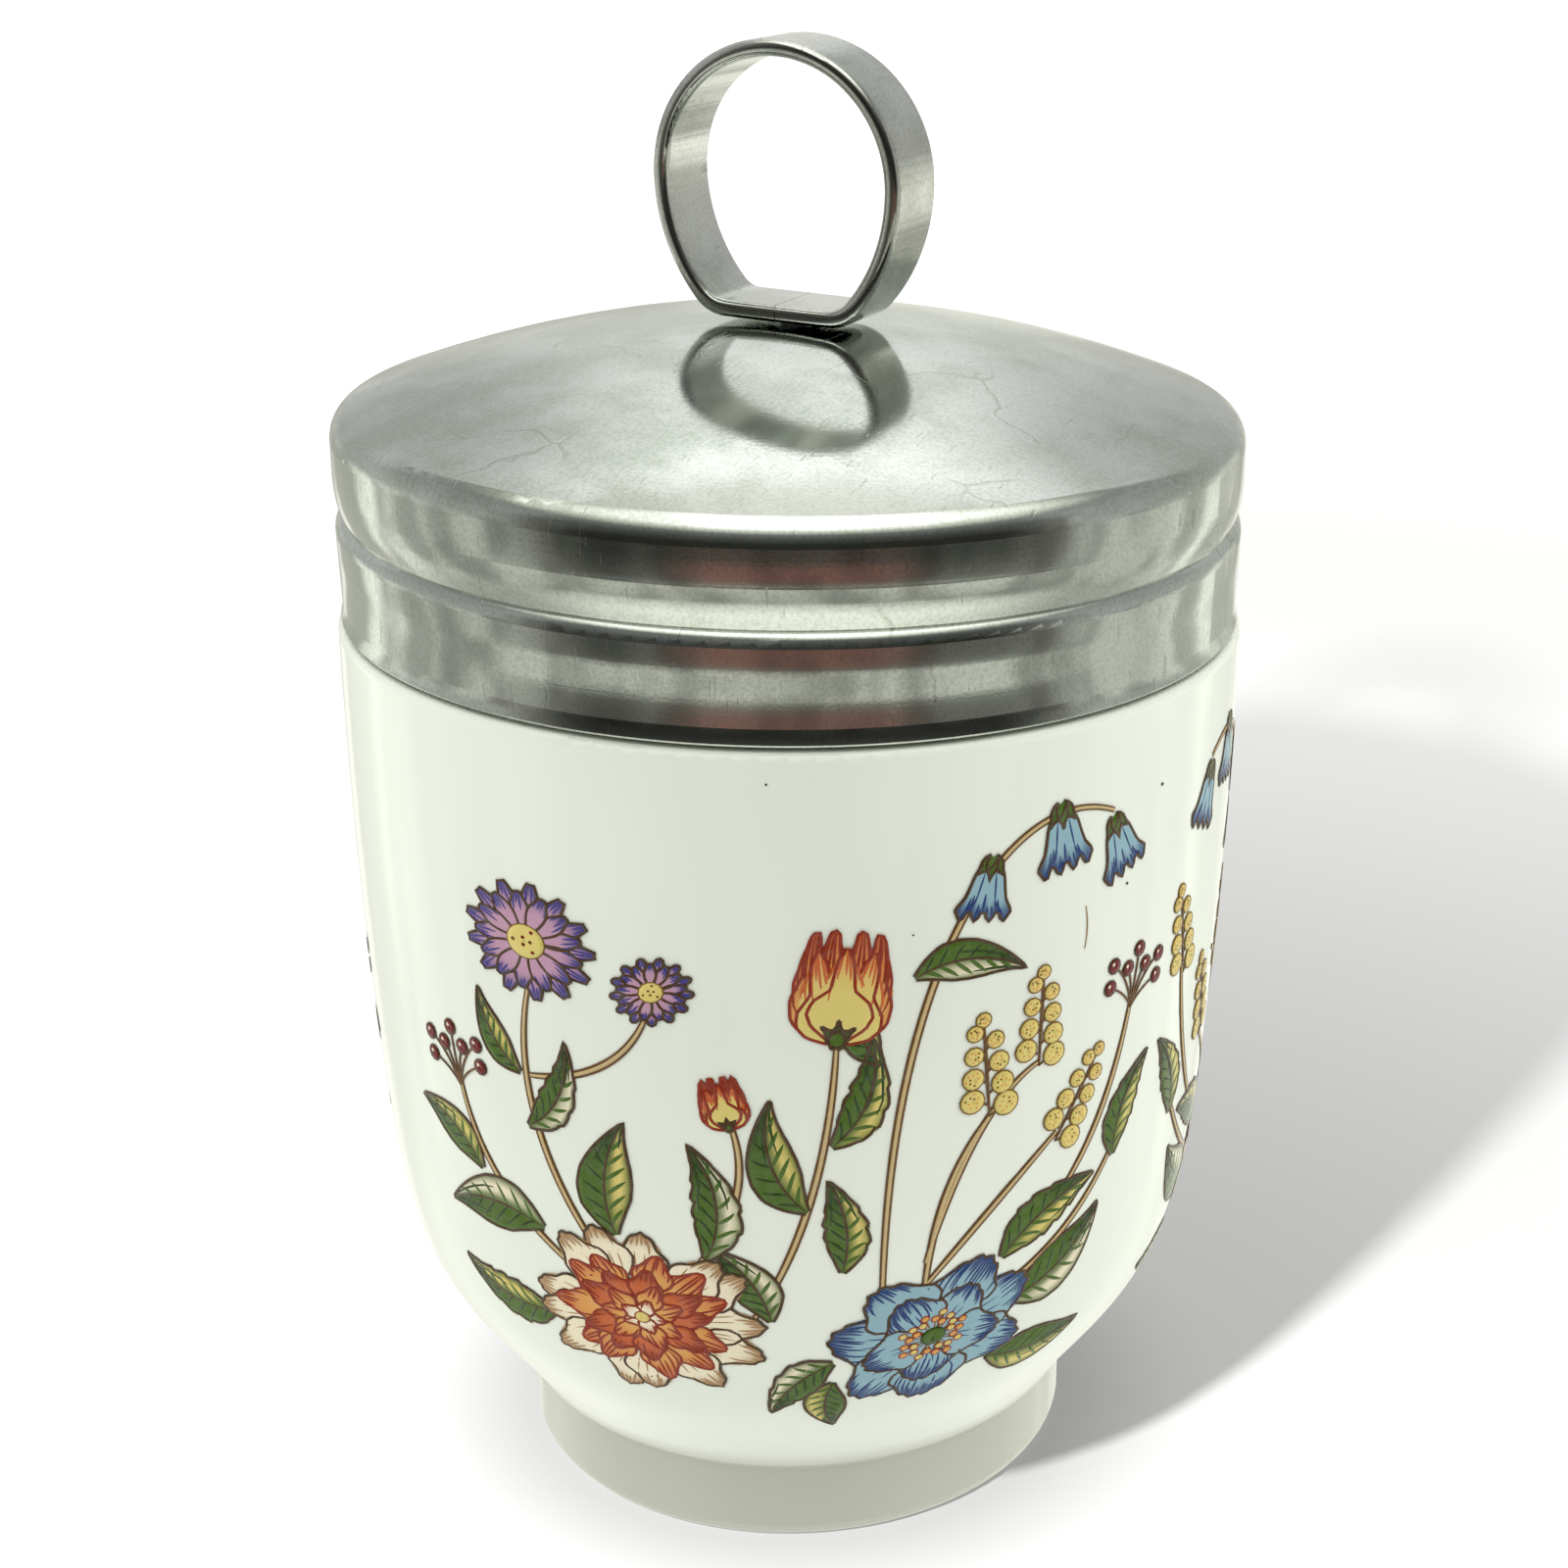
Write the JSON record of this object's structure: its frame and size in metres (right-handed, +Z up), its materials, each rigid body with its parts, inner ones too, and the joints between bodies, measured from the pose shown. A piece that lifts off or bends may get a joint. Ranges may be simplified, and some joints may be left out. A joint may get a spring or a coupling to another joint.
{
  "type": "egg coddler",
  "caption": "Footed porcelain cup for cooking an egg in hot water, with a screw-on stainless lid and a lifting ring on top.",
  "frame": {"origin": "middle of the foot ring, on the surface that the cup stands on", "axes": "+Z up the cup's axis and out of the lid; the lifting ring's plane is XZ, so its hole runs along Y"},
  "size_m": [0.0644, 0.0644, 0.1059],
  "materials": {
    "porcelain": "glossy white glaze, faintly green-ivory",
    "satin_steel": "satin stainless sheet with fine wear",
    "polished_steel": "polished stainless strip with rounded edges"
  },
  "bodies": {
    "cup": {"cup": "porcelain"},
    "lid_axis": {"ring_weld": "satin_steel"},
    "lid": {"lid_shell": "satin_steel", "thread_band": "satin_steel", "lifting_ring": "polished_steel"}
  },
  "joints": [
    {"name": "lid_rise", "type": "slide", "parent": "cup", "child": "lid_axis", "axis": [0, 0, 1], "range_m": [0, 0.06]},
    {"name": "lid_turn", "type": "hinge", "parent": "lid_axis", "child": "lid", "pos_m": [0, 0, 0.08], "axis": [0, 0, 1], "range_deg": [0, 5400]}
  ],
  "couplings": [
    {"joint": "lid_turn", "follows": "lid_rise", "rad_per_m": 1570.8}
  ]
}
